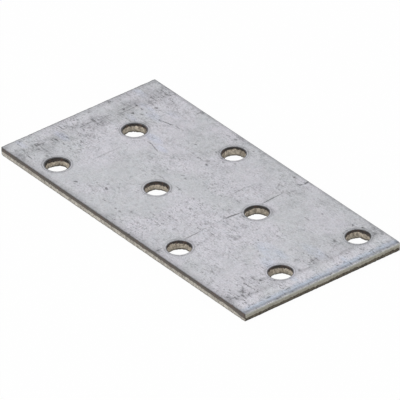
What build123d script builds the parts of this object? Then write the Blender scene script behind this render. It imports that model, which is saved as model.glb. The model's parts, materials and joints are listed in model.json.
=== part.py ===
from build123d import *

import os

# Mending plate: one length of galvanised steel strip with nail holes in a staggered grid.
# The strip was slit to width, the holes were punched down through its top face, and the
# plate was sheared off to length, so every edge has the three bands of a sheared edge:
# a rollover where the blade went in, a smooth burnished land, and a sloping fracture.
# The slitting and the shear both ran a fraction of a millimetre off the middle of the
# hole grid, so the margins at opposite edges differ a little.
#
# Frame: origin at the middle of the underside, X along the plate, Y across it, Z up.
# The plate lies on its flat underside, with the punched (rolled-over) face on top.

# ---- Driving dimensions, in millimetres ----
PLATE_LENGTH = 80.0
STRIP_WIDTH = 40.0
STRIP_THICKNESS = 2.0
CORNER_RADIUS = 0.4

HOLE_DIAMETER = 5.0
HOLE_COLUMNS = 4
HOLES_PER_COLUMN = 2
HOLE_PITCH = 20.0                    # between columns, and between the holes of a column
COLUMN_STAGGER = HOLE_PITCH / 2      # every other column is stepped across by this much
HOLE_EDGE_MARGIN = 4.8               # from the -Y edge to the nearest hole centre
HOLE_END_MARGIN = 12.75              # from the -X end to the first column

# A sheared edge: how far its rollover reaches in and down, how deep its burnished land
# is, and how far its fracture slopes back by the time it reaches the other face.
SLIT_EDGE = {"roll_reach": 0.30, "roll_drop": 0.10, "land": 0.80, "slope": 0.10}
END_EDGE = {"roll_reach": 1.80, "roll_drop": 0.20, "land": 0.80, "slope": 0.28}
HOLE_EDGE = {"roll_reach": 0.40, "roll_drop": 0.20, "land": 0.47, "slope": 0.03}


def sheared_edge(roll_reach, roll_drop, land, slope):
    """Line of one sheared edge in the U-V plane, with the metal on its -U side.

    The blade enters at V = STRIP_THICKNESS and leaves at V = 0; the land lies on U = 0.
    """
    roll_foot = STRIP_THICKNESS - roll_drop
    land_foot = roll_foot - land
    rollover = EllipticalCenterArc((-roll_reach, roll_foot), roll_reach, roll_drop, 0, arc_size=90)
    burnished_land = Line((0, roll_foot), (0, land_foot))
    fracture = Line((0, land_foot), (-slope, 0))
    return Curve() + [rollover, burnished_land, fracture]


def closed_between(edge, other_edge, edge_ends, other_ends):
    """Face between two edge lines, closed along the strip's top and bottom faces."""
    top = Line((edge_ends[0], STRIP_THICKNESS), (other_ends[0], STRIP_THICKNESS))
    bottom = Line((edge_ends[1], 0), (other_ends[1], 0))
    return make_face(Curve() + [*edge.edges(), *other_edge.edges(), top, bottom])


def slit_strip():
    """The strip as it was slit: both long edges roll over at the top."""
    half = STRIP_WIDTH / 2
    edge = Pos(half, 0) * sheared_edge(**SLIT_EDGE)
    other_edge = mirror(edge, Plane.YZ)
    ends = (half - SLIT_EDGE["roll_reach"], half - SLIT_EDGE["slope"])
    section = closed_between(edge, other_edge, ends, (-ends[0], -ends[1]))
    return extrude(Plane.YZ * section, PLATE_LENGTH / 2, both=True)


def cropped_length():
    """What the crop shear leaves: one end rolls over at the top, the other at the bottom.

    The two ends of a plate lie on opposite sides of the blade, so the side view looks
    the same when it is turned half round.
    """
    half = PLATE_LENGTH / 2
    edge = Pos(half, 0) * sheared_edge(**END_EDGE)
    half_turn = Pos(0, STRIP_THICKNESS / 2) * Rot(0, 0, 180) * Pos(0, -STRIP_THICKNESS / 2)
    other_edge = half_turn * edge
    top_end, bottom_end = half - END_EDGE["roll_reach"], half - END_EDGE["slope"]
    side_view = closed_between(
        edge, other_edge, (top_end, bottom_end), (-bottom_end, -top_end)
    )
    return extrude(Plane.XZ * side_view, STRIP_WIDTH / 2, both=True)


def outline():
    """Plan of the plate, with its corners just eased."""
    plan = RectangleRounded(PLATE_LENGTH, STRIP_WIDTH, CORNER_RADIUS)
    return extrude(plan, STRIP_THICKNESS)


def punched_hole():
    """The space that one punched hole leaves, turned about its own axis."""
    radius = HOLE_DIAMETER / 2
    wall = Pos(-radius, 0) * sheared_edge(**HOLE_EDGE)
    top_radius = radius + HOLE_EDGE["roll_reach"]
    bottom_radius = radius + HOLE_EDGE["slope"]
    top = Line((-top_radius, STRIP_THICKNESS), (0, STRIP_THICKNESS))
    axis_line = Line((0, STRIP_THICKNESS), (0, 0))
    bottom = Line((0, 0), (-bottom_radius, 0))
    half_section = make_face(Curve() + [*wall.edges(), top, axis_line, bottom])
    return revolve(Plane.XZ * half_section, Axis.Z, 360)


def hole_centres():
    """Staggered grid: each column holds two holes, and every other column is stepped over."""
    first_x = HOLE_END_MARGIN - PLATE_LENGTH / 2
    first_y = HOLE_EDGE_MARGIN - STRIP_WIDTH / 2
    return [
        (first_x + column * HOLE_PITCH, first_y + place * HOLE_PITCH + column % 2 * COLUMN_STAGGER)
        for column in range(HOLE_COLUMNS)
        for place in range(HOLES_PER_COLUMN)
    ]


def mending_plate():
    """The finished plate: strip, cropped to length, less its holes."""
    plate = slit_strip() & cropped_length() & outline()
    hole = punched_hole()
    for x, y in hole_centres():
        plate -= Pos(x, y, 0) * hole
    return plate


os.makedirs("parts", exist_ok=True)
export_step(mending_plate(), "parts/mending_plate.step")
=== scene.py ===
import json
import math

import bpy
import numpy as np
from mathutils import Matrix, Vector


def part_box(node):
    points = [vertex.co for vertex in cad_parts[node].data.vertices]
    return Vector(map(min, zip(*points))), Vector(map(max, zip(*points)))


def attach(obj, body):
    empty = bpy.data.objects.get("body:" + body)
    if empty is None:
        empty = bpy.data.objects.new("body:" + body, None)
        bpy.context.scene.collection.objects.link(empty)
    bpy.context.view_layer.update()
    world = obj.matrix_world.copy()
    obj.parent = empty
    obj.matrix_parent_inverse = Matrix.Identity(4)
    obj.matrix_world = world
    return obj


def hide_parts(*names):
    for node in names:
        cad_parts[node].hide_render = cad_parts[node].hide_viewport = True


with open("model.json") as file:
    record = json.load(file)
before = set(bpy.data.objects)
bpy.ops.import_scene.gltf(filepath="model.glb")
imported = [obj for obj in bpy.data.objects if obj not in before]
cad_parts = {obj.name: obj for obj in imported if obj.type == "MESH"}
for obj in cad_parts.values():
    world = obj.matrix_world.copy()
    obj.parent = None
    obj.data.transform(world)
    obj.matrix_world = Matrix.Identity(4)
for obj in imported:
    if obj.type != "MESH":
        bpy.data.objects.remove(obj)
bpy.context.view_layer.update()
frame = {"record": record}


# ---- The blank: a length of galvanised strip ----
# One flat length of 2 mm hot-dip galvanised steel strip, slit to width at the mill and sheared to length.
# Each cut edge rolls over where the blade went in, then has a smooth burnished land and a sloping fracture.
# The far end was on the other side of the blade, so it rolls over underneath instead of on top.

MM = 0.001
NODE = "mending_plate"
low, high = (np.array(corner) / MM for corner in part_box(NODE))
HALF_LENGTH = (high[0] - low[0]) / 2
HALF_WIDTH = (high[1] - low[1]) / 2
THICKNESS = high[2] - low[2]
CORNER_EASE = 0.4

# A sheared edge, in mm: how far its rollover reaches in and down, how high the land ends, and how far the
# fracture has sloped back at the far face.
SLIT_EDGE = {"reach": 0.30, "drop": 0.10, "land_foot": 1.10, "slope": 0.10}
END_EDGE = {"reach": 1.80, "drop": 0.20, "land_foot": 1.00, "slope": 0.28}

# The holes are a staggered grid: every other column is stepped across by half a pitch. Each is punched in a
# square cell of its own, which the mesh of the blank leaves open for it.
HOLE_COLUMNS, HOLES_PER_COLUMN = 4, 2
bores = [mount for mount in frame["record"]["mounts"] if mount["kind"] == "bore"]
centres = [(bore["pos_m"][0] / MM, bore["pos_m"][1] / MM) for bore in bores]
FIRST_HOLE = min(centres)
HOLE_PITCH = (max(centres)[0] - FIRST_HOLE[0]) / (HOLE_COLUMNS - 1)
COLUMN_STAGGER = HOLE_PITCH / 2
HOLE_CELL = 8.0

# The mesh: the step of its lines on the flats in mm, and its steps round each rollover and down each wall.
MESH_STEP = 0.4
END_ROLL_STEPS, SIDE_ROLL_STEPS = 8, 5
WALL_STEPS = 14


def hole_centres():
    """The middle of every hole, column by column."""
    for column in range(HOLE_COLUMNS):
        for place in range(HOLES_PER_COLUMN):
            yield (FIRST_HOLE[0] + column * HOLE_PITCH,
                   FIRST_HOLE[1] + place * HOLE_PITCH + column % 2 * COLUMN_STAGGER)


def roll_lines(reach, steps):
    """Distances in from a sheared edge of its rollover's mesh lines, closest together at the edge."""
    return reach * (1 - np.sin(np.linspace(math.pi / 2, 0, steps + 1)))


def even_lines(start, stop):
    """Mesh lines from start to stop, about a mesh step apart."""
    return np.linspace(start, stop, max(1, round((stop - start) / MESH_STEP)) + 1)


def mesh_lines(half, first_cell, last_cell, reach, steps):
    """Mesh line positions from one edge to the other, with lines on the hole cells' borders."""
    roll = roll_lines(reach, steps)
    lines = [roll - half, even_lines(reach - half, first_cell), even_lines(first_cell, last_cell),
             even_lines(last_cell, half - reach), half - roll]
    return np.unique(np.concatenate(lines).round(6))


def rollover(inset, reach, drop):
    """How far the surface has dropped at a distance in from the edge: a quarter of an ellipse."""
    nearness = np.clip(1 - inset / reach, 0, 1)
    return drop * (1 - np.sqrt(1 - nearness ** 2))


def slope_back(height, land_foot, slope):
    """How far the fracture has sloped back at a height: none on the land, all of it at the far face."""
    return slope * np.clip((land_foot - height) / land_foot, 0, 1)


def shear(x, y, top_fraction):
    """Moves points of a plain box (top_fraction 1 on its top, 0 underneath) to the sheared plate's surface.

    Returns the places, and at each point the way out of the fracture, longer the further it has sloped back
    and zero away from it.
    """
    near, far, side = HALF_LENGTH - x, HALF_LENGTH + x, HALF_WIDTH - np.abs(y)
    end_reach, end_drop, end_slope = END_EDGE["reach"], END_EDGE["drop"], END_EDGE["slope"]
    side_reach, side_drop, side_slope = SLIT_EDGE["reach"], SLIT_EDGE["drop"], SLIT_EDGE["slope"]
    top = THICKNESS - rollover(near, end_reach, end_drop) - rollover(side, side_reach, side_drop)
    bottom = rollover(far, end_reach, end_drop)
    z = bottom + top_fraction * (top - bottom)

    near_share = np.clip(1 - near / end_reach, 0, 1)
    far_share = np.clip(1 - far / end_reach, 0, 1)
    side_share = np.clip(1 - side / side_reach, 0, 1)
    near_back = slope_back(z, END_EDGE["land_foot"], end_slope)
    far_back = slope_back(THICKNESS - z, END_EDGE["land_foot"], end_slope)
    side_back = slope_back(z, SLIT_EDGE["land_foot"], side_slope)
    out_x = (near_share * near_back - far_share * far_back) / end_slope
    out_y = side_share * side_back / side_slope * np.sign(y)
    x = x - near_share * near_back + far_share * far_back
    y = y - side_share * side_back * np.sign(y)

    past_x = np.abs(x) - (HALF_LENGTH - CORNER_EASE)
    past_y = np.abs(y) - (HALF_WIDTH - CORNER_EASE)
    at_corner = (past_x > 0) & (past_y > 0)
    ease = np.where(at_corner, np.maximum(past_x, past_y) / np.hypot(past_x, past_y), 1)
    x = np.where(at_corner, np.sign(x) * (HALF_LENGTH - CORNER_EASE + past_x * ease), x)
    y = np.where(at_corner, np.sign(y) * (HALF_WIDTH - CORNER_EASE + past_y * ease), y)
    return np.stack([x, y, z], -1), np.stack([out_x, out_y, 0 * z], -1)


def add_mesh(name, places, faces, fracture, from_hole):
    """A mesh object from places in mm.

    fracture keeps the way out of the torn steel at each point, and from_hole the distance to a hole's middle.
    """
    mesh = bpy.data.meshes.new(name)
    mesh.from_pydata([tuple(place) for place in places * MM], [], faces)
    mesh.attributes.new("fracture", "FLOAT_VECTOR", "POINT").data.foreach_set("vector", np.ravel(fracture))
    mesh.attributes.new("from_hole", "FLOAT", "POINT").data.foreach_set("value", from_hole)
    obj = bpy.data.objects.new(name, mesh)
    bpy.context.scene.collection.objects.link(obj)
    return obj


def blank_shell():
    """The plate's whole skin as a box of mesh lines pushed to shape, open where the hole cells go."""
    cell = HOLE_CELL / 2
    last_x = FIRST_HOLE[0] + (HOLE_COLUMNS - 1) * HOLE_PITCH
    last_y = FIRST_HOLE[1] + (HOLES_PER_COLUMN - 1) * HOLE_PITCH + COLUMN_STAGGER
    xs = mesh_lines(HALF_LENGTH, FIRST_HOLE[0] - cell, last_x + cell, END_EDGE["reach"], END_ROLL_STEPS)
    ys = mesh_lines(HALF_WIDTH, FIRST_HOLE[1] - cell, last_y + cell, SLIT_EDGE["reach"], SIDE_ROLL_STEPS)
    grid_x, grid_y = (side.ravel() for side in np.meshgrid(xs, ys, indexing="ij"))
    columns, rows = len(xs), len(ys)
    heights = np.linspace(0, 1, WALL_STEPS + 1)[1:-1]

    rim = [(i, 0) for i in range(columns - 1)] + [(columns - 1, j) for j in range(rows - 1)]
    rim += [(i, rows - 1) for i in range(columns - 1, 0, -1)] + [(0, j) for j in range(rows - 1, 0, -1)]
    rim_x = np.array([xs[i] for i, _ in rim])
    rim_y = np.array([ys[j] for _, j in rim])

    layers = [shear(grid_x, grid_y, 1.0), shear(grid_x, grid_y, 0.0)]
    layers += [shear(rim_x, rim_y, height) for height in heights]
    flat = grid_x.size
    top = np.arange(flat).reshape(columns, rows)
    bottom = top + flat

    loops = [[bottom[at] for at in rim]]
    for k in range(len(heights)):
        loops.append(list(range(2 * flat + k * len(rim), 2 * flat + (k + 1) * len(rim))))
    loops.append([top[at] for at in rim])

    faces = []
    for i in range(columns - 1):
        for j in range(rows - 1):
            middle = ((xs[i] + xs[i + 1]) / 2, (ys[j] + ys[j + 1]) / 2)
            if any(max(abs(middle[0] - x), abs(middle[1] - y)) < cell for x, y in hole_centres()):
                continue
            faces.append((top[i, j], top[i + 1, j], top[i + 1, j + 1], top[i, j + 1]))
            faces.append((bottom[i, j], bottom[i, j + 1], bottom[i + 1, j + 1], bottom[i + 1, j]))
    for lower, upper in zip(loops, loops[1:]):
        for k in range(len(rim)):
            after = (k + 1) % len(rim)
            faces.append((lower[k], lower[after], upper[after], upper[k]))

    used = sorted({vertex for face in faces for vertex in face})
    new_index = {old: new for new, old in enumerate(used)}
    faces = [tuple(new_index[vertex] for vertex in face) for face in faces]
    places, outs = (np.concatenate(layer)[used] for layer in zip(*layers))
    return add_mesh("mending_plate_skin", places, faces, outs, np.full(len(used), HOLE_CELL))


plate = blank_shell()


# ---- The nail holes ----
# Eight round holes punched down through the strip while it still ran through the press.
# The punch drew the top skin in round each hole, burnished the first half millimetre of the wall and tore
# the rest, which is ragged and closes in a little towards the underside.

HOLE_RADIUS = bores[0]["dims"]["r_mm"]
HOLE_EDGE = {"reach": 0.40, "drop": 0.20, "land_foot": 1.33, "slope": -0.13}

# Mesh steps along each side of a cell, and its rings of mesh: on the flats, round the rollover, down the land
# and down the tear. Rings on the flats crowd towards the cell's border and stop short of the rollover.
CELL_STEPS = round(HOLE_CELL / MESH_STEP)
FLAT_RINGS, ROLL_RINGS, LAND_RINGS, TEAR_RINGS = 7, 6, 3, 8
RING_CROWDING = 1.2
FLAT_MARGIN = 0.15
MERGE_GAP = 0.01

# Torn steel stands out and sinks in by lumps, and in the holes by longer breaks too: size and depth in mm.
# A hole's wall is torn less under its land and more at its foot than the strip's own edges, which count as 1.
TEAR_SIZE, TEAR_DEPTH = 0.6, 0.30
BREAK_SIZE, BREAK_DEPTH = 1.8, 0.42
TEAR_UNDER_LAND, TEAR_AT_FOOT = 0.6, 2.2
TEAR_SEED = 3.0

# A face faces a way when that part of its normal is past this share, at about 45 degrees.
FACING = 0.7


def hole_cell():
    """A square cell of the plate, top and underside, with one punched hole through its middle."""
    around = 4 * CELL_STEPS
    half = HOLE_CELL / 2
    side = np.linspace(-half, half, CELL_STEPS + 1)[:-1]
    edge = np.full(CELL_STEPS, half)
    square = np.concatenate([np.column_stack(line)
                             for line in ((side, -edge), (edge, side), (-side, edge), (-edge, -side))])
    first_corner = -0.75 * math.pi
    turn = np.linspace(0, 2 * math.pi, around, endpoint=False) + first_corner
    circle = np.column_stack([np.cos(turn), np.sin(turn)])

    reach, drop, foot = HOLE_EDGE["reach"], HOLE_EDGE["drop"], HOLE_EDGE["land_foot"]
    inwards = np.linspace(0, 1, FLAT_RINGS + 1)[:-1] ** RING_CROWDING
    rings = []
    for share in inwards:
        rings.append((square + (circle * (HOLE_RADIUS + reach + FLAT_MARGIN) - square) * share, THICKNESS, 0))
    for inset in roll_lines(reach, ROLL_RINGS)[::-1]:
        rings.append((circle * (HOLE_RADIUS + inset), THICKNESS - rollover(inset, reach, drop), 0))
    for height in np.linspace(THICKNESS - drop, foot, LAND_RINGS + 1)[1:]:
        rings.append((circle * HOLE_RADIUS, height, 0))
    # Down the tear, where the way out of the torn wall is in towards the hole's middle
    for height in np.linspace(foot, 0, TEAR_RINGS + 1)[1:]:
        torn = TEAR_UNDER_LAND + (TEAR_AT_FOOT - TEAR_UNDER_LAND) * (1 - height / foot)
        rings.append((circle * (HOLE_RADIUS + slope_back(height, foot, HOLE_EDGE["slope"])), height, -torn))
    for share in inwards[::-1]:
        rings.append((square + (circle * (HOLE_RADIUS + reach) - square) * share, 0.0, 0))

    places = np.concatenate([np.column_stack([ring, np.full(around, z)]) for ring, z, _ in rings])
    outs = np.concatenate([np.column_stack([circle * torn, np.zeros(around)]) for _, _, torn in rings])
    faces = []
    for ring in range(len(rings) - 1):
        for k in range(around):
            after = (k + 1) % around
            faces.append((ring * around + k, ring * around + after,
                          (ring + 1) * around + after, (ring + 1) * around + k))
    return add_mesh("hole_cell", places, faces, outs, np.hypot(*places[:, :2].T))


def add(tree, kind, inputs=(), **settings):
    """Adds a node with its settings and links.

    inputs fill the sockets that show, from the top down, or go by name in a dict. Each is a value, a socket,
    or a node, which stands for the first output that it shows.
    """
    node = tree.nodes.new(kind)
    for name, value in settings.items():
        setattr(node, name, value)
    named = isinstance(inputs, dict)
    sockets = node.inputs if named else [socket for socket in node.inputs if socket.enabled]
    for at, value in inputs.items() if named else enumerate(inputs):
        if isinstance(value, bpy.types.Node):
            value = next(output for output in value.outputs if output.enabled)
        if isinstance(value, bpy.types.NodeSocket):
            tree.links.new(value, sockets[at])
        else:
            sockets[at].default_value = value
    return node


def swing(tree, pattern, middle, amount, level):
    """A pattern's swing to either side of its middle, times an amount, laid on a level."""
    off_middle = add(tree, "ShaderNodeMath", (pattern, middle), operation="SUBTRACT")
    return add(tree, "ShaderNodeMath", (off_middle, amount, level), operation="MULTIPLY_ADD")


def punching_tree():
    """Punches the staggered grid of holes into the open skin, then roughens every torn wall."""
    tree = bpy.data.node_groups.new("punched_strip", "GeometryNodeTree")
    tree.is_modifier = True
    ids = {}
    for name, kind in {
            "Skin": "Geometry", "Hole Cell": "Object", "Holes": "Int", "Holes per Column": "Int",
            "Pitch": "Float", "Stagger": "Float", "First Hole": "Vector", "Tear Depth": "Float",
            "Tear Size": "Float", "Break Depth": "Float", "Break Size": "Float", "Seed": "Float",
            "Skin Finish": "Material", "Slit Finish": "Material", "Cropped Finish": "Material",
            "Punched Finish": "Material"}.items():
        socket = tree.interface.new_socket(name, in_out="INPUT", socket_type="NodeSocket" + kind)
        ids[name] = socket.identifier
    tree.interface.new_socket("Plate", in_out="OUTPUT", socket_type="NodeSocketGeometry")
    given = add(tree, "NodeGroupInput").outputs

    # Each hole's number gives its column and its place in the column, and those its centre.
    number = add(tree, "GeometryNodeInputIndex")
    column = add(tree, "ShaderNodeMath", (number, given["Holes per Column"]), operation="DIVIDE")
    column = add(tree, "ShaderNodeMath", (column,), operation="FLOOR")
    place = add(tree, "ShaderNodeMath", (number, given["Holes per Column"]), operation="MODULO")
    every_other = add(tree, "ShaderNodeMath", (column, 2.0), operation="MODULO")
    stepped = add(tree, "ShaderNodeMath", (every_other, given["Stagger"]), operation="MULTIPLY")
    along = add(tree, "ShaderNodeMath", (column, given["Pitch"]), operation="MULTIPLY")
    across = add(tree, "ShaderNodeMath", (place, given["Pitch"], stepped), operation="MULTIPLY_ADD")
    centre = add(tree, "ShaderNodeCombineXYZ", (along, across))
    centre = add(tree, "ShaderNodeVectorMath", (centre, given["First Hole"]), operation="ADD")
    points = add(tree, "GeometryNodePoints", (given["Holes"], centre))

    # The cells are made real before they are joined, so that their borders merge with the skin's.
    cell = add(tree, "GeometryNodeObjectInfo", (given["Hole Cell"],)).outputs["Geometry"]
    punched = add(tree, "GeometryNodeInstanceOnPoints", {"Points": points, "Instance": cell})
    punched = add(tree, "GeometryNodeRealizeInstances", (punched,))
    joined = add(tree, "GeometryNodeJoinGeometry", (punched,))
    tree.links.new(given["Skin"], joined.inputs[0])
    whole = add(tree, "GeometryNodeMergeByDistance", {"Geometry": joined, "Distance": MERGE_GAP * MM})

    def lumps(size, depth):
        """Stands out or sinks in by lumps of a size, half a depth at most."""
        here = add(tree, "GeometryNodeInputPosition")
        per_metre = add(tree, "ShaderNodeMath", (1.0, size), operation="DIVIDE")
        shape = add(tree, "ShaderNodeTexNoise", (here, given["Seed"], per_metre, 3.0), noise_dimensions="4D")
        return swing(tree, shape, 0.5, depth, 0.0)

    from_hole = add(tree, "GeometryNodeInputNamedAttribute", ("from_hole",), data_type="FLOAT")
    in_hole = add(tree, "ShaderNodeMath", (from_hole, HOLE_CELL / 2), operation="LESS_THAN")
    tears = lumps(given["Tear Size"], given["Tear Depth"])
    breaks = lumps(given["Break Size"], given["Break Depth"])
    push = add(tree, "ShaderNodeMath", (breaks, in_hole, tears), operation="MULTIPLY_ADD")
    fracture = add(tree, "GeometryNodeInputNamedAttribute", ("fracture",), data_type="FLOAT_VECTOR")
    offset = add(tree, "ShaderNodeVectorMath", (fracture, push), operation="SCALE")
    torn = add(tree, "GeometryNodeSetPosition", {"Geometry": whole, "Offset": offset})

    # Zinc skin all over, then bare steel on every wall: slit sides, cropped ends and punched holes.
    normal = add(tree, "ShaderNodeSeparateXYZ", (add(tree, "GeometryNodeInputNormal"),)).outputs
    upright = add(tree, "ShaderNodeMath", (normal["Z"],), operation="ABSOLUTE")
    lengthways = add(tree, "ShaderNodeMath", (normal["X"],), operation="ABSOLUTE")
    wall = add(tree, "ShaderNodeMath", (upright, FACING), operation="LESS_THAN")
    at_end = add(tree, "ShaderNodeMath", (lengthways, FACING), operation="GREATER_THAN")
    end_wall = add(tree, "ShaderNodeMath", (wall, at_end), operation="MULTIPLY")
    hole_wall = add(tree, "ShaderNodeMath", (wall, in_hole), operation="MULTIPLY")
    bodies = add(tree, "GeometryNodeSetMaterial", {"Geometry": torn, "Material": given["Skin Finish"]})
    for name, faces in (("Slit Finish", wall), ("Cropped Finish", end_wall), ("Punched Finish", hole_wall)):
        bodies = add(tree, "GeometryNodeSetMaterial",
                     {"Geometry": bodies, "Selection": faces, "Material": given[name]})
    add(tree, "NodeGroupOutput", (bodies,))
    return tree, ids


# ---- Zinc skin ----
# Hot-dip galvanised steel, skin-passed by steel rolls: a dull satin grey with a faint cloudy mottle.
# The rolling leaves fine dark flecks along the strip, and carrying it in stacks leaves rubs and scratches.
# Places along and across the plate are in mm from its middle.

ZINC_COLOUR, CLOUDED_ZINC_COLOUR = "#c2c3c7", "#c5c4ca"
# The near end's film colour is darker and bluer than the zinc: a film, and painted shade and reflection on
# the rollover there.
FAR_FILM_COLOUR, NEAR_FILM_COLOUR, END_FILM_AND_SHADE_COLOUR = "#c4c6d1", "#bdc3d0", "#b4bcc9"


def linear(hex_colour):
    """An sRGB hex colour as the linear RGBA that a node takes."""
    parts = [int(hex_colour[at:at + 2], 16) / 255 for at in (1, 3, 5)]
    return (*[part / 12.92 if part <= 0.04045 else ((part + 0.055) / 1.055) ** 2.4 for part in parts], 1.0)


def new_material(name):
    """An empty material tree with its shader, and the place on the plate in mm."""
    material = bpy.data.materials.new(name)
    material.use_nodes = True
    tree = material.node_tree
    here = add(tree, "ShaderNodeTexCoord").outputs["Object"]
    place = add(tree, "ShaderNodeVectorMath", (here, 1 / MM), operation="SCALE")
    return material, tree, tree.nodes["Principled BSDF"], place


def grain(tree, place, size, stretch=(1, 1, 1), turn=0.0, detail=2.0, rough=0.5):
    """Noise with patches of a size in mm, drawn out by stretch in x, y and z and turned by degrees."""
    scale = [1 / (size * by) for by in stretch]
    turned = add(tree, "ShaderNodeMapping", {"Vector": place, "Rotation": (0, 0, math.radians(turn))})
    laid = add(tree, "ShaderNodeVectorMath", (turned, scale), operation="MULTIPLY")
    return add(tree, "ShaderNodeTexNoise", (laid, 1.0, detail, rough))


def where(tree, *conditions):
    """How far all of some conditions hold at a place, from 0 to 1, with soft borders.

    A condition is a share, or a pattern with the value where it doesn't hold and the value where it holds in
    full. Where those two ends aren't to give 0 and 1, what they give follows.
    """
    share = None
    for condition in conditions:
        if isinstance(condition, tuple):
            condition = add(tree, "ShaderNodeMapRange", condition, interpolation_type="SMOOTHSTEP")
        if share is None:
            share = condition
        else:
            share = add(tree, "ShaderNodeMath", (share, condition), operation="MULTIPLY")
    return share


def lowered(tree, level, causes):
    """A level lowered by each of a list of causes in turn: its share of a place, and what it takes off.

    A cause that takes off less than nothing raises the level.
    """
    for share, weight in causes:
        left = add(tree, "ShaderNodeMath", (share, -weight, 1.0), operation="MULTIPLY_ADD")
        level = add(tree, "ShaderNodeMath", (level, left), operation="MULTIPLY")
    return level


def strongest_turned(tree, flat_place, marks):
    """The strongest of a list of soft-edged marks: x, y, half length, half width, turn from +X, strength."""
    rim, core = 1.0, 0.45
    total = 0.0
    for x, y, half_length, half_width, turn, strength in marks:
        local = add(tree, "ShaderNodeMapping", (flat_place, (x, y, 0), (0, 0, math.radians(turn)),
                                                (half_length, half_width, 1)), vector_type="TEXTURE")
        away = add(tree, "ShaderNodeVectorMath", (local,), operation="LENGTH")
        mark = where(tree, (away, rim, core, 0.0, strength))
        total = add(tree, "ShaderNodeMath", (total, mark), operation="MAXIMUM")
    return total


def strongest_drawn(tree, flat_place, draw_x, draw_y, marks, others=0.0):
    """The strongest of some others and a list of soft-edged marks: x, y, half width, strength.

    The marks are all drawn out by the same amounts, draw_x along the strip and draw_y across it.
    """
    rim, core = 1.05, 0.4
    draw = (1 / draw_x, 1 / draw_y, 1)
    pressed = add(tree, "ShaderNodeVectorMath", (flat_place, draw), operation="MULTIPLY")
    for x, y, half_width, strength in marks:
        away = add(tree, "ShaderNodeVectorMath", (pressed, (x / draw_x, y / draw_y, 0)), operation="DISTANCE")
        mark = where(tree, (away, rim * half_width, core * half_width, 0.0, strength))
        others = add(tree, "ShaderNodeMath", (others, mark), operation="MAXIMUM")
    return others


def apply_finish(tree, shader, colour, roughness, relief, metallic, strength, depth):
    """Gives a material its colour and roughness, how metallic it is, and a fine relief of a depth in mm."""
    bump = add(tree, "ShaderNodeBump", {"Height": relief, "Strength": strength, "Distance": depth * MM})
    shader.inputs["Metallic"].default_value = metallic
    tree.links.new(colour.outputs[0], shader.inputs["Base Color"])
    tree.links.new(roughness.outputs[0], shader.inputs["Roughness"])
    tree.links.new(bump.outputs[0], shader.inputs["Normal"])


# Where the stack and the rolls marked the top face, in mm. Slanting scratches and score lines:
# x, y, half length, half width, turn from +X, strength
SCRATCHES = [
    (10.5, 17.8, 0.8, 0.26, 58, 0.75), (10.8, 10.3, 3.8, 0.22, 94, 0.62), (10.6, 0.3, 2.9, 0.26, 84, 0.78),
    (9.9, -1.5, 0.9, 0.34, -37, 0.35), (11.0, -10.2, 3.0, 0.22, 92, 0.60),
    (-25.0, 11.5, 2.0, 0.22, 14, 0.65), (-19.3, 3.8, 2.2, 0.22, -14, 0.50),
    (-15.4, 4.0, 2.2, 0.20, 22, 0.22), (33.4, -15.4, 1.3, 0.30, -38, 0.42),
]
# The rest run along the strip or across it: x, y, half width, strength. Each kind's draw is how many times
# as long as wide it is.
ALONG_DRAW = 5.0
ALONG_STREAKS = [
    (-34.8, 18.3, 0.22, 0.42), (-33.6, 15.0, 0.24, 0.55), (-32.6, 13.6, 0.28, 0.35),
    (-35.4, 0.5, 0.28, 0.42), (-37.6, -6.2, 0.24, 0.60), (-34.4, -9.8, 0.22, 0.35),
    (-34.9, -10.5, 0.22, 0.38), (-33.2, -13.8, 0.34, 0.34), (-35.9, -17.3, 0.20, 0.50),
    (-33.0, -17.9, 0.24, 0.65), (-28.0, 8.4, 0.28, 0.32), (-22.2, 12.1, 0.22, 0.35),
    (-21.3, 4.2, 0.22, 0.55), (-10.0, 8.4, 0.22, 0.45), (-12.7, -1.7, 0.20, 0.42), (-9.8, -1.9, 0.20, 0.42),
    (-4.6, -1.8, 0.20, 0.50), (7.8, 18.7, 0.26, 0.50), (11.0, 14.3, 0.22, 0.36), (7.7, 6.5, 0.20, 0.36),
    (13.3, -7.1, 0.22, 0.50), (14.9, -2.9, 0.22, 0.38), (21.2, 11.0, 0.24, 0.42), (34.2, 5.6, 0.20, 0.36),
    (33.9, 3.3, 0.22, 0.42), (31.0, -10.8, 0.24, 0.60), (29.7, -12.4, 0.24, 0.55),
    (35.1, -16.4, 0.22, 0.50),
]
ACROSS_DRAW = 4.0
ACROSS_STREAKS = [
    (-35.0, 3.8, 0.26, 0.50), (-34.9, 1.7, 0.22, 0.42), (-35.4, -0.8, 0.34, 0.45),
    (-35.2, -2.6, 0.26, 0.45), (-33.9, -1.7, 0.20, 0.45), (-35.4, -13.0, 0.30, 0.42),
    (-23.7, 18.9, 0.26, 0.50), (10.8, 19.4, 0.30, 0.75), (10.7, -7.2, 0.24, 0.38),
    (10.8, -18.9, 0.26, 0.60), (35.2, 9.9, 0.50, 0.22), (35.2, -0.4, 0.45, 0.28), (33.8, 2.0, 0.26, 0.50),
    (34.7, 1.5, 0.20, 0.36), (35.2, -14.0, 0.55, 0.26), (38.3, 13.9, 0.18, 0.80), (38.3, 5.1, 0.14, 0.75),
    (38.3, -7.9, 0.18, 0.85), (38.3, -12.8, 0.24, 0.65), (38.2, -17.0, 0.20, 0.60),
    (39.6, 17.0, 0.16, 0.60), (39.7, 2.2, 0.14, 0.50), (39.7, -7.7, 0.14, 0.60), (39.7, -11.5, 0.18, 0.70),
]
SCORE_DRAW = 20.0
SCORE_LINES = [
    (-34.0, 8.4, 0.22, 0.38), (-35.1, 9.0, 0.22, 0.20), (-24.0, -4.7, 0.26, 0.26), (4.3, 8.0, 0.26, 0.16),
]
SPOT_DRAW = 1.4
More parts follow.
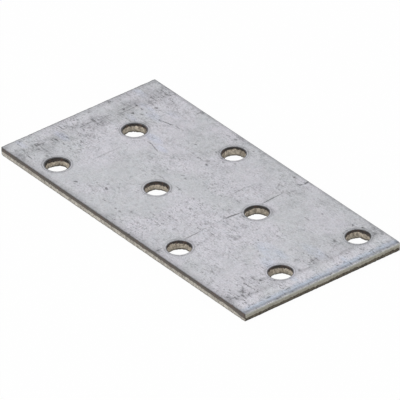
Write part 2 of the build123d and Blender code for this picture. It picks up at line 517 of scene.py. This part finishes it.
SPOTS = [
    (-39.0, 7.4, 0.40, 0.45), (-36.9, -6.1, 0.34, 0.50), (-36.8, 12.5, 0.24, 0.40),
    (-36.6, -18.5, 0.40, 0.35), (-35.8, 0.5, 0.36, 0.50), (-35.7, -13.9, 0.60, 0.58),
    (-34.8, 8.0, 0.32, 0.75), (-34.7, 15.1, 0.34, 0.70), (-34.6, -9.6, 0.30, 0.60),
    (-34.2, 10.8, 0.36, 0.72), (-33.9, 0.5, 0.34, 0.55), (-33.9, -3.2, 0.38, 0.45),
    (-33.8, -1.9, 0.30, 0.50), (-33.7, 18.1, 0.32, 0.70), (-33.6, -17.9, 0.32, 0.50),
    (-33.2, -19.2, 0.50, 0.35), (-32.5, 8.4, 0.32, 0.75), (-32.4, 10.8, 0.36, 0.72),
    (-32.4, -9.6, 0.30, 0.58), (-31.0, -14.9, 0.45, 0.50), (-31.0, 0.2, 0.34, 0.35),
    (-30.8, 9.6, 0.30, 0.45), (-30.7, 13.3, 0.38, 0.75), (-30.7, 10.7, 0.26, 0.50),
    (-26.8, -10.6, 0.34, 0.30), (-26.6, 11.1, 0.28, 0.50), (-23.4, 19.4, 0.50, 0.50),
    (-19.8, -16.3, 0.42, 0.62), (-14.8, 11.0, 0.36, 0.52), (-14.7, -11.9, 0.28, 0.45),
    (-13.9, -6.6, 0.30, 0.36), (-13.6, -13.1, 0.38, 0.72), (-13.4, -10.0, 0.28, 0.45),
    (-12.3, -11.0, 0.32, 0.45), (-12.0, 9.6, 0.26, 0.40), (-11.3, 0.9, 0.28, 0.42),
    (-11.1, 18.4, 0.36, 0.55), (-10.6, 8.3, 0.36, 0.50), (-10.6, -6.9, 0.26, 0.40),
    (-10.5, -16.1, 0.36, 0.36), (-8.4, 9.0, 0.55, 0.36), (-7.5, 7.9, 0.38, 0.68), (-7.5, 1.7, 0.32, 0.46),
    (-6.7, -16.2, 0.36, 0.46), (-6.3, 1.5, 0.38, 0.52), (-5.4, -16.3, 0.38, 0.56), (-5.1, 18.4, 0.26, 0.60),
    (-3.9, -1.9, 0.32, 0.62), (0.8, -1.9, 0.28, 0.42), (3.1, -4.8, 0.32, 0.46), (3.4, -13.4, 0.26, 0.46),
    (4.2, 8.5, 0.34, 0.36), (7.6, 18.7, 0.36, 0.72), (14.3, -11.7, 0.32, 0.42), (17.5, -3.5, 0.50, 0.40),
    (17.7, -4.8, 0.36, 0.46), (17.8, 0.8, 0.22, 0.50), (20.9, -1.4, 0.20, 0.75), (21.8, 14.5, 0.30, 0.52),
    (22.7, -17.2, 0.30, 0.66), (24.0, -4.0, 0.30, 0.46), (25.5, -4.6, 0.28, 0.42), (29.0, 16.6, 0.32, 0.75),
    (30.8, 17.5, 0.34, 0.75), (31.0, 10.1, 0.50, 0.60), (31.3, 0.0, 0.36, 0.36), (31.4, -17.1, 0.28, 0.50),
    (31.6, -13.3, 0.38, 0.62), (32.3, 19.2, 0.42, 0.50), (32.5, -10.1, 0.34, 0.95),
    (32.5, -14.6, 0.38, 0.52), (33.0, -15.8, 0.32, 0.46), (33.5, -18.7, 0.60, 0.36),
    (32.9, 2.7, 0.28, 0.34), (39.2, 19.4, 0.40, 0.40), (34.2, 18.1, 0.45, 0.40), (34.3, -17.1, 0.28, 0.50),
    (34.5, -16.3, 0.42, 0.62), (34.9, -1.8, 0.60, 0.38), (35.3, 19.2, 0.32, 0.50), (37.7, -8.5, 0.24, 0.60),
]
# Patches hatched with finer rubs: x, y, half width, strength
HATCH_DRAW = 1.2
HATCHED = [
    (-34.0, 17.6, 1.6, 0.8), (-33.4, 13.0, 1.8, 0.6), (-34.6, 8.6, 1.4, 0.6), (-34.4, 1.6, 2.8, 0.9),
    (-35.2, -1.8, 1.2, 0.7), (-34.6, -10.2, 1.5, 0.8), (-35.0, -14.6, 2.0, 1.0), (-31.6, -13.4, 1.6, 0.6),
    (-34.4, -18.2, 1.6, 0.8), (-11.5, 9.0, 2.6, 0.4), (-13.0, -11.0, 1.4, 0.4), (17.2, -4.0, 1.2, 0.5),
    (31.0, -11.4, 2.2, 0.5), (33.4, -15.8, 2.0, 0.6), (34.0, 2.4, 1.4, 0.8), (31.8, 0.6, 1.6, 0.5),
    (31.4, 10.0, 1.8, 0.7), (33.4, 18.6, 2.2, 0.8), (12.0, 14.6, 1.6, 0.5), (38.4, 18.8, 1.4, 0.5),
]
# Where the passivation left a faint blue film: x, y, half width, strength
FILM_DRAW = 2.4
BLUE_FILM = [
    (26.0, -2.0, 2.4, 0.7), (30.0, -5.0, 2.0, 0.6), (31.4, 4.6, 1.8, 0.5), (-35.0, -8.0, 1.2, 1.1),
    (-32.2, 12.0, 1.2, 0.9), (-37.4, 14.2, 1.1, 0.9), (-22.2, 5.8, 1.4, 1.1), (-18.2, 4.6, 1.0, 1.0),
    (-28.8, 11.0, 1.5, 0.8), (-26.4, 14.4, 1.0, 0.7), (-31.4, 7.2, 0.9, 0.8), (-38.0, -16.2, 1.0, 0.7),
    (35.4, -4.6, 1.2, 0.6), (37.6, 7.4, 0.9, 0.6),
]


def zinc_skin():
    """Hot-dip galvanised strip, skin-passed: satin grey metal, clouded, flecked and rubbed at its ends.

    The zinc is a metal under a thin passivation film, which makes it duller and bluer than bare metal. The
    rolls' own grain is finer than 0.1 mm, so it is drawn at 0.3 to 0.45 mm, where it shows.
    """
    material, tree, shader, place = new_material("galvanised_strip_skin_passed")

    # Marks are laid on a shaken place, which makes them ragged, and the thin ones on a steadier one.
    flat = add(tree, "ShaderNodeVectorMath", (place, (1, 1, 0)), operation="MULTIPLY")
    shake = grain(tree, place, 0.8).outputs["Color"]
    shake = add(tree, "ShaderNodeVectorMath", (shake, (0.5, 0.5, 0.5)), operation="SUBTRACT")
    shaken = add(tree, "ShaderNodeVectorMath", (shake, (1.0, 0.8, 0), flat), operation="MULTIPLY_ADD")
    steadier = add(tree, "ShaderNodeVectorMath", (shake, (0.4, 0.4, 0), flat), operation="MULTIPLY_ADD")
    sides = add(tree, "ShaderNodeSeparateXYZ", (place,)).outputs
    along, across = sides["X"], sides["Y"]
    on_top = add(tree, "ShaderNodeMath", (sides["Z"], THICKNESS / 2), operation="GREATER_THAN")

    # The zinc itself: broad grey and faintly lilac clouds under a thin, uneven, bluish film.
    clouds = grain(tree, place, 9.0, (1.3, 1, 1))
    wisps = grain(tree, place, 1.4, (2.5, 1, 1))
    colour = add(tree, "ShaderNodeMix", (where(tree, (clouds, 0.4, 0.6)), linear(ZINC_COLOUR),
                                         linear(CLOUDED_ZINC_COLOUR)), data_type="RGBA")
    blue = strongest_drawn(tree, shaken, FILM_DRAW, 1.0, BLUE_FILM)
    blue = where(tree, blue, on_top, (wisps, 0.40, 0.60, 0.5, 1.0))
    film_colour = add(tree, "ShaderNodeMix", (where(tree, (along, -15.0, 15.0)), linear(FAR_FILM_COLOUR),
                                              linear(NEAR_FILM_COLOUR)), data_type="RGBA")
    colour = add(tree, "ShaderNodeMix", (blue, colour, film_colour), data_type="RGBA")
    blots = grain(tree, place, 1.3, (1.4, 0.9, 1), detail=3.0, rough=0.7)
    edge_streaks = grain(tree, place, 2.0, (0.5, 3, 1), detail=3.0, rough=0.7)
    # A bluish film over the near end's rollover, painted darker and bluer there as the rollover's shaded
    # reflection.
    film_place = swing(tree, blots, 0.5, 2.0, along)
    end_film_and_shade = where(tree, (film_place, 37.6, 38.9), (film_place, 39.9, 39.2), on_top,
                     (edge_streaks, 0.35, 0.60, 0.5, 1.0))
    colour = add(tree, "ShaderNodeMix", (end_film_and_shade, colour, linear(END_FILM_AND_SHADE_COLOUR)), data_type="RGBA")
    tint_depth = (0.052, 0.030, 0.034)
    tint = grain(tree, place, 1.2, detail=3.0, rough=0.8).outputs["Color"]
    tint = add(tree, "ShaderNodeVectorMath", (tint, (0.5, 0.5, 0.5)), operation="SUBTRACT")
    colour = add(tree, "ShaderNodeVectorMath", (tint, tint_depth, colour), operation="MULTIPLY_ADD")

    # Mottle of every size, then sparse flecks that the rolls drew out. They crowd together in places, most of
    # all at the ends, and there are calmer places between.
    mottle = grain(tree, place, 2.4, (1.2, 1, 1), detail=4.0, rough=0.95)
    specks = grain(tree, place, 0.45, (1.4, 0.9, 1), detail=1.0)
    dashes = grain(tree, place, 0.40, (3.5, 0.8, 1), turn=-3, detail=1.0)
    cross_dashes = grain(tree, place, 0.40, (0.8, 3.5, 1), detail=1.0)
    patches = grain(tree, place, 3.5, (1.3, 1, 1), detail=3.0, rough=0.7)
    bristle = grain(tree, place, 0.32, (1, 0.9, 1), rough=0.7)
    crowded = where(tree, (patches, 0.40, 0.60, 0.35, 1.0))
    calm = grain(tree, place, 5.0, (1.3, 1, 1), detail=1.0)
    off_middle = add(tree, "ShaderNodeMath", (along,), operation="ABSOLUTE")
    busy = add(tree, "ShaderNodeMath", (where(tree, (calm, 0.36, 0.64, 0.45, 1.40)),
                                        where(tree, (off_middle, 26.0, 30.0, 0.0, 0.50))), operation="ADD")
    busy = lowered(tree, busy, [(where(tree, (along, -30.0, -27.0), (along, -13.0, -19.0)), 0.28)])

    # Rubbed by the stack: hatched patches with sharper scratches, streaks and spots among them.
    far_rub = where(tree, (along, -37.6, -35.8), (along, -30.8, -34.2), crowded)
    near_rub = where(tree, (along, 31.0, 35.0), (along, 35.95, 35.6), crowded)
    hatched = where(tree, strongest_drawn(tree, shaken, 1.0, HATCH_DRAW, HATCHED), on_top)
    far_hatched = add(tree, "ShaderNodeMath", (far_rub, 0.45), operation="MULTIPLY")
    hatched = add(tree, "ShaderNodeMath", (hatched, far_hatched), operation="MAXIMUM")
    long_hatch = grain(tree, place, 0.30, (7, 0.8, 1), turn=1, detail=1.0)
    cross_hatch = grain(tree, place, 0.30, (0.8, 7, 1), detail=1.0)
    hatch = add(tree, "ShaderNodeMath", (where(tree, (long_hatch, 0.50, 0.66)),
                                         where(tree, (cross_hatch, 0.50, 0.66))), operation="ADD")
    hatch = where(tree, hatch, hatched)
    marks = strongest_drawn(tree, shaken, SPOT_DRAW, 1.0, SPOTS)
    marks = strongest_drawn(tree, steadier, ALONG_DRAW, 1.0, ALONG_STREAKS, marks)
    marks = strongest_drawn(tree, steadier, 1.0, ACROSS_DRAW, ACROSS_STREAKS, marks)
    marks = where(tree, marks, (bristle, 0.35, 0.6, 0.65, 1.1))
    lines = strongest_turned(tree, steadier, SCRATCHES)
    lines = strongest_drawn(tree, steadier, 1.0, SCORE_DRAW, SCORE_LINES, lines)
    marks = where(tree, add(tree, "ShaderNodeMath", (marks, lines), operation="MAXIMUM"), on_top)

    # Painted shade where the skin turns down to a cut edge, and rings of painted shade where the punch drew
    # it in, which are a little narrower at the far holes.
    to_side = add(tree, "ShaderNodeMath", (across,), operation="ABSOLUTE")
    to_side = add(tree, "ShaderNodeMath", (HALF_WIDTH, to_side), operation="SUBTRACT")
    to_far_end = add(tree, "ShaderNodeMath", (along, HALF_LENGTH - END_EDGE["slope"]), operation="ADD")
    to_edge = add(tree, "ShaderNodeMath", (to_side, to_far_end), operation="MINIMUM")
    # Painted shade where the sides turn down: ragged, wider on one side, and weaker towards the far end.
    wavy_side = swing(tree, blots, 0.5, -1.6, to_side)
    roll_width = where(tree, (across, -5.0, 5.0, 1.7, 1.0))
    side_turn_shade = where(tree, (wavy_side, roll_width, 0.2), (along, -38.0, -30.0, 0.4, 1.0))
    # Painted shade on the near end's rollover, and broken painted shade along its crest.
    near_place = swing(tree, blots, 0.5, 0.5, along)
    near_roll_shade = where(tree, (near_place, 38.9, 39.45), (near_place, 39.86, 39.68))
    crest_shade = where(tree, (along, 39.75, 39.88), (edge_streaks, 0.62, 0.45))
    # Round each hole, painted shade: a ring at the crease where the punch drew the skin in, and the lip
    # turning into the hole.
    from_hole = add(tree, "ShaderNodeAttribute", attribute_name="from_hole").outputs["Fac"]
    narrower = where(tree, (along, -20.0, -25.0, 0.0, 0.11))
    ring_place = add(tree, "ShaderNodeMath", (from_hole, narrower), operation="SUBTRACT")
    ring_place = swing(tree, bristle, 0.5, 0.3, ring_place)
    ring = where(tree, (ring_place, 2.93, 3.03), (ring_place, 3.19, 3.09), (blots, 0.35, 0.6, 0.4, 1.0))

    # How light the skin is: mottle and flecks, stronger where it is busy, and never too bright.
    tone = swing(tree, mottle, 0.5, 0.75, 1.11)
    tone = lowered(tree, tone, [(where(tree, (bristle, 0.35, 0.65)), 0.22)])
    half_busy = add(tree, "ShaderNodeMath", (busy, 0.4, 0.6), operation="MULTIPLY_ADD")
    tone = swing(tree, tone, 0.98, half_busy, 1.066)
    flecks = lowered(tree, 1.0, [
        (where(tree, (specks, 0.60, 0.72)), 0.23),
        (where(tree, (cross_dashes, 0.62, 0.74)), 0.10),
        (where(tree, (dashes, 0.60, 0.70), crowded), 0.28),
        (where(tree, (blots, 0.56, 0.72)), 0.25)])
    flecks = swing(tree, flecks, 1.0, busy, 1.0)
    tone = add(tree, "ShaderNodeMath", (tone, flecks), operation="MULTIPLY")
    brightest, easing = 1.20, 0.16
    tone = add(tree, "ShaderNodeMath", (tone, brightest, easing), operation="SMOOTH_MIN")

    tone = lowered(tree, tone, [
        # Clouds, rubs and marks
        (where(tree, (patches, 0.57, 0.75)), 0.09),
        (where(tree, (clouds, 0.62, 0.38)), 0.04),
        (hatch, 0.28),
        (hatched, 0.04),
        (marks, 0.85),
        (far_rub, 0.12),
        (near_rub, 0.13),
        # Painted shade along the far end, over one side of the strip, and where the sides turn down
        (where(tree, (along, -38.0, -39.6)), 0.14),
        (where(tree, (along, -39.3, -39.8)), 0.26),
        (where(tree, (across, -6.0, 18.0), (along, 39.0, 35.0)), 0.05),
        (side_turn_shade, 0.24),
        (where(tree, (to_edge, 0.26, 0.06)), 0.45),
        # A paler band before the near end, and painted shade where the near end turns down and along its
        # crest
        (where(tree, (along, 36.0, 36.3), (along, 38.2, 37.6)), -0.05),
        (where(tree, (along, 38.0, 39.0)), 0.04),
        (near_roll_shade, 0.32),
        (crest_shade, 0.22),
        # Painted shade round the holes: a broad shade, a ring at the crease, and the lip that turns into the
        # hole
        (where(tree, (from_hole, 3.7, 3.1)), 0.13),
        (ring, 0.36),
        (where(tree, (ring_place, 2.78, 2.64)), 0.75)])
    colour = add(tree, "ShaderNodeVectorMath", (colour, tone), operation="SCALE")
    roughness = where(tree, (patches, 0.3, 0.7, 0.42, 0.58))
    apply_finish(tree, shader, colour, roughness, specks, metallic=0.75, strength=0.25, depth=0.02)
    return material


# ---- Cut edges ----
# Bare steel wherever the strip was cut after its zinc bath: slit sides, cropped ends and punched holes.
# Each cut has a burnished land that the side of the tool rubbed smooth, and torn steel where it broke away.

def sheared_steel(name, land, torn, foot, ragged, tooth, stray, droop=0.0, turned_end=False, lip=0.0,
                  foot_shade=0.66):
    """Low-carbon steel, sheared: a burnished land above a ragged line, and matt torn steel below it.

    land and torn each list the colour at the top, the colour lower down and the colour of the streaks.
    foot is the height of the ragged line, ragged the height of its teeth, tooth their width, stray how far
    it drifts from place to place, and droop how much lower it runs towards the near end. turned_end turns
    the pattern over at the far end. lip paints highlights in patches under the rollover, and the last
    argument paints shade at the foot of the tear.
    The cut has begun to tarnish, so it is less metallic than clean steel. Its crystals are about 0.02 mm
    across, so they are drawn at 0.4 mm, where they show.
    """
    material, tree, shader, place = new_material(name)
    sides = add(tree, "ShaderNodeSeparateXYZ", (place,)).outputs
    along, height = sides["X"], sides["Z"]
    if turned_end:
        middle = THICKNESS / 2
        end = add(tree, "ShaderNodeMath", (along,), operation="SIGN")
        height = swing(tree, height, middle, end, middle)
    level = add(tree, "ShaderNodeVectorMath", (place, (1, 1, 0.25)), operation="MULTIPLY")
    teeth = grain(tree, level, tooth, detail=3.0, rough=0.65)
    waves = grain(tree, level, 6.0, detail=1.0)
    streaks = grain(tree, place, 0.40, (1, 1, 4.0))
    crystals = grain(tree, place, 0.40, detail=3.0, rough=0.7)
    blots = grain(tree, place, 0.9, (1, 1, 1.5))

    line = swing(tree, teeth, 0.5, ragged, foot)
    line = swing(tree, waves, 0.5, stray, line)
    drooped = where(tree, (along, 33.0, 40.0, 0.0, droop))
    line = add(tree, "ShaderNodeMath", (line, drooped), operation="SUBTRACT")
    above = add(tree, "ShaderNodeMath", (height, line), operation="SUBTRACT")
    on_land = where(tree, (above, -0.07, 0.07))

    # The land changes colour from 0.25 to 0.65 mm under the top face, and the tear in 0.8 mm below its line.
    down_land = where(tree, (height, THICKNESS - 0.25, THICKNESS - 0.65))
    land_colour = add(tree, "ShaderNodeMix", (down_land, linear(land[0]), linear(land[1])), data_type="RGBA")
    land_streaks = where(tree, (blots, 0.48, 0.68, 0.0, 0.6))
    land_colour = add(tree, "ShaderNodeMix", (land_streaks, land_colour, linear(land[2])), data_type="RGBA")
    down_tear = where(tree, (above, -0.1, -0.9))
    torn_colour = add(tree, "ShaderNodeMix", (down_tear, linear(torn[0]), linear(torn[1])), data_type="RGBA")
    torn_streaks = where(tree, (streaks, 0.48, 0.64, 0.0, 0.8))
    torn_colour = add(tree, "ShaderNodeMix", (torn_streaks, torn_colour, linear(torn[2])), data_type="RGBA")
    colour = add(tree, "ShaderNodeMix", (on_land, torn_colour, land_colour), data_type="RGBA")

    # Crystals catch the light most on the tear. Painted shade darkens its foot, and painted highlights lie on
    # the land's lip.
    torn_tone = where(tree, (crystals, 0.35, 0.65, 0.76, 1.24), (blots, 0.35, 0.65, 1.14, 0.86))
    torn_tone = lowered(tree, torn_tone, [(where(tree, (height, 0.42, 0.12)), foot_shade)])
    land_tone = where(tree, (crystals, 0.35, 0.65, 0.87, 1.13))
    painted_lip_highlight = where(tree, (height, THICKNESS - 0.34, THICKNESS - 0.24), (blots, 0.45, 0.60))
    land_tone = lowered(tree, land_tone, [(painted_lip_highlight, -lip)])
    tone = add(tree, "ShaderNodeMix", (on_land, torn_tone, land_tone))
    colour = add(tree, "ShaderNodeVectorMath", (colour, tone), operation="SCALE")
    roughness = where(tree, (on_land, 0.0, 1.0, 0.65, 0.40))
    apply_finish(tree, shader, colour, roughness, crystals, metallic=0.6, strength=0.6, depth=0.06)
    return material


# Slit by the mill's rotary knives: a land painted dark as its glossy face's dark reflection, over a pale,
# matt tear.
slit_finish = sheared_steel(
    "slit_edge_steel", land=("#4f4a46", "#575049", "#5c473e"), torn=("#b9b4aa", "#c0bbb2", "#9a948a"),
    foot=1.04, ragged=0.60, tooth=0.7, stray=0.33, droop=0.4, foot_shade=0.35)
# Cropped by a wide blade: a land painted bright as the light it faces, with painted highlights in patches
# under the rollover, over a ragged tear painted dark as the shade under its inward slope.
cropped_finish = sheared_steel(
    "cropped_end_steel", land=("#a8aaa3", "#979387", "#858175"), torn=("#5c5547", "#6a6152", "#3c342a"),
    foot=0.94, ragged=1.00, tooth=0.6, stray=0.65, turned_end=True, lip=0.50)
# Punched: a short land that the punch smeared, painted dark as the shade and dark reflection in the hole,
# over a pale, coarse tear.
punched_finish = sheared_steel(
    "punched_wall_steel", land=("#33302d", "#46423f", "#60483e"), torn=("#cdc3b4", "#b6aea0", "#918779"),
    foot=1.30, ragged=0.75, tooth=0.45, stray=1.1)

punch_cell = hole_cell()
modifier = plate.modifiers.new("punching", "NODES")
modifier.node_group, ids = punching_tree()
for name, value in {
        "Hole Cell": punch_cell, "Holes": HOLE_COLUMNS * HOLES_PER_COLUMN,
        "Holes per Column": HOLES_PER_COLUMN, "Pitch": HOLE_PITCH * MM, "Stagger": COLUMN_STAGGER * MM,
        "First Hole": (FIRST_HOLE[0] * MM, FIRST_HOLE[1] * MM, 0.0),
        "Tear Depth": TEAR_DEPTH * MM, "Tear Size": TEAR_SIZE * MM,
        "Break Depth": BREAK_DEPTH * MM, "Break Size": BREAK_SIZE * MM, "Seed": TEAR_SEED,
        "Skin Finish": zinc_skin(), "Slit Finish": slit_finish,
        "Cropped Finish": cropped_finish, "Punched Finish": punched_finish}.items():
    modifier[ids[name]] = value
depsgraph = bpy.context.evaluated_depsgraph_get()
finished = bpy.data.meshes.new_from_object(plate.evaluated_get(depsgraph), preserve_all_data_layers=True,
                                           depsgraph=depsgraph)
plate.modifiers.clear()
plate.data = finished
bpy.data.objects.remove(punch_cell)

# The mesh's first slot is the empty one that the blank came with.
finished.materials.pop(index=0)
for polygon in finished.polygons:
    polygon.use_smooth = True
SHARPEST_SMOOTH_TURN = math.radians(35)
finished.set_sharp_from_angle(angle=SHARPEST_SMOOTH_TURN)
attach(plate, "root")
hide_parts(NODE)


# ---- Studio ----
# A plain white paper floor and soft light, with a long lens that looks down on the plate's near corner.
# What is seen of the floor and the world is plain white, and the floor takes a faint share of the shadow.

# The floor's half width in metres, and how far it lies under the plate in mm, to keep their faces apart.
FLOOR_REACH = 3.0
FLOOR_DROP = 0.02
PAPER_COLOUR = "#f3f3f3"
SHADOW_SHARE = 0.03
WORLD_LIGHT = 0.7


def seen_itself(tree):
    """1 for rays that show the surroundings, straight, mirrored or through glass, and 0 for their light."""
    rays = add(tree, "ShaderNodeLightPath").outputs
    seen = add(tree, "ShaderNodeMath", (rays["Is Camera Ray"], rays["Is Glossy Ray"]), operation="MAXIMUM")
    return add(tree, "ShaderNodeMath", (seen, rays["Is Transmission Ray"]), operation="MAXIMUM")


floor_mesh = bpy.data.meshes.new("studio_floor")
floor_corners = [(FLOOR_REACH * x, FLOOR_REACH * y, 0) for x, y in ((-1, -1), (1, -1), (1, 1), (-1, 1))]
floor_mesh.from_pydata(floor_corners, [], [(0, 1, 2, 3)])
floor = bpy.data.objects.new("studio_floor", floor_mesh)
floor.location.z = -FLOOR_DROP * MM
bpy.context.scene.collection.objects.link(floor)

# Matt white paper: a plain diffuse white that shows as its own white and keeps the plate's shadow.
floor_finish = bpy.data.materials.new("matt_white_paper")
floor_finish.use_nodes = True
tree = floor_finish.node_tree
tree.nodes.remove(tree.nodes["Principled BSDF"])
shown = add(tree, "ShaderNodeMath", (seen_itself(tree), 1 - SHADOW_SHARE), operation="MULTIPLY")
paper = add(tree, "ShaderNodeBsdfDiffuse", (linear(PAPER_COLOUR),))
glow = add(tree, "ShaderNodeEmission", ((1, 1, 1, 1), 1.0))
mixed = add(tree, "ShaderNodeMixShader", (shown, paper, glow))
tree.links.new(mixed.outputs[0], tree.nodes["Material Output"].inputs["Surface"])
floor.data.materials.append(floor_finish)

world = bpy.data.worlds.new("studio")
bpy.context.scene.world = world
world.use_nodes = True
tree = world.node_tree
background = tree.nodes["Background"]
background.inputs["Color"].default_value = (1, 1, 1, 1)
strength = where(tree, (seen_itself(tree), 0.0, 1.0, WORLD_LIGHT, 1.0))
tree.links.new(strength.outputs[0], background.inputs["Strength"])

KEY_PLACE = Vector((-0.26, -0.99, 1.2))
soft_box = bpy.data.lights.new("key_light", "AREA")
soft_box.shape = "SQUARE"
soft_box.size = 0.8
soft_box.energy = 6.0
key_light = bpy.data.objects.new("key_light", soft_box)
key_light.location = KEY_PLACE
key_light.rotation_euler = (-KEY_PLACE).to_track_quat("-Z", "Y").to_euler()
bpy.context.scene.collection.objects.link(key_light)

# The camera, in degrees and metres, with a lens so many times as long as its sensor is wide. It aims at a
# point just off the middle of the top face, in mm to its own right and up.
CAMERA_AZIMUTH, CAMERA_ELEVATION, CAMERA_ROLL = (math.radians(turn) for turn in (52.23, 33.27, -1.27))
CAMERA_DISTANCE = 1.986
FOCAL_WIDTHS = 24.52
AIM_RIGHT, AIM_UP = 0.206, -1.203
level_out = math.cos(CAMERA_ELEVATION)
back = Vector((math.sin(CAMERA_AZIMUTH) * level_out, -math.cos(CAMERA_AZIMUTH) * level_out,
               math.sin(CAMERA_ELEVATION)))
right = Vector((math.cos(CAMERA_AZIMUTH), math.sin(CAMERA_AZIMUTH), 0))
right, up = (Matrix.Rotation(CAMERA_ROLL, 3, back) @ axis for axis in (right, back.cross(right)))
aim = (Vector((0, 0, THICKNESS)) + AIM_RIGHT * right + AIM_UP * up) * MM
lens = bpy.data.cameras.new("camera")
lens.sensor_width = 36
lens.lens = FOCAL_WIDTHS * lens.sensor_width
lens.clip_end = 20
camera = bpy.data.objects.new("camera", lens)
facing = Matrix((right, up, back)).transposed().to_4x4()
camera.matrix_world = Matrix.Translation(aim + back * CAMERA_DISTANCE) @ facing
bpy.context.scene.collection.objects.link(camera)
bpy.context.scene.camera = camera
bpy.context.scene.view_settings.view_transform = "Standard"
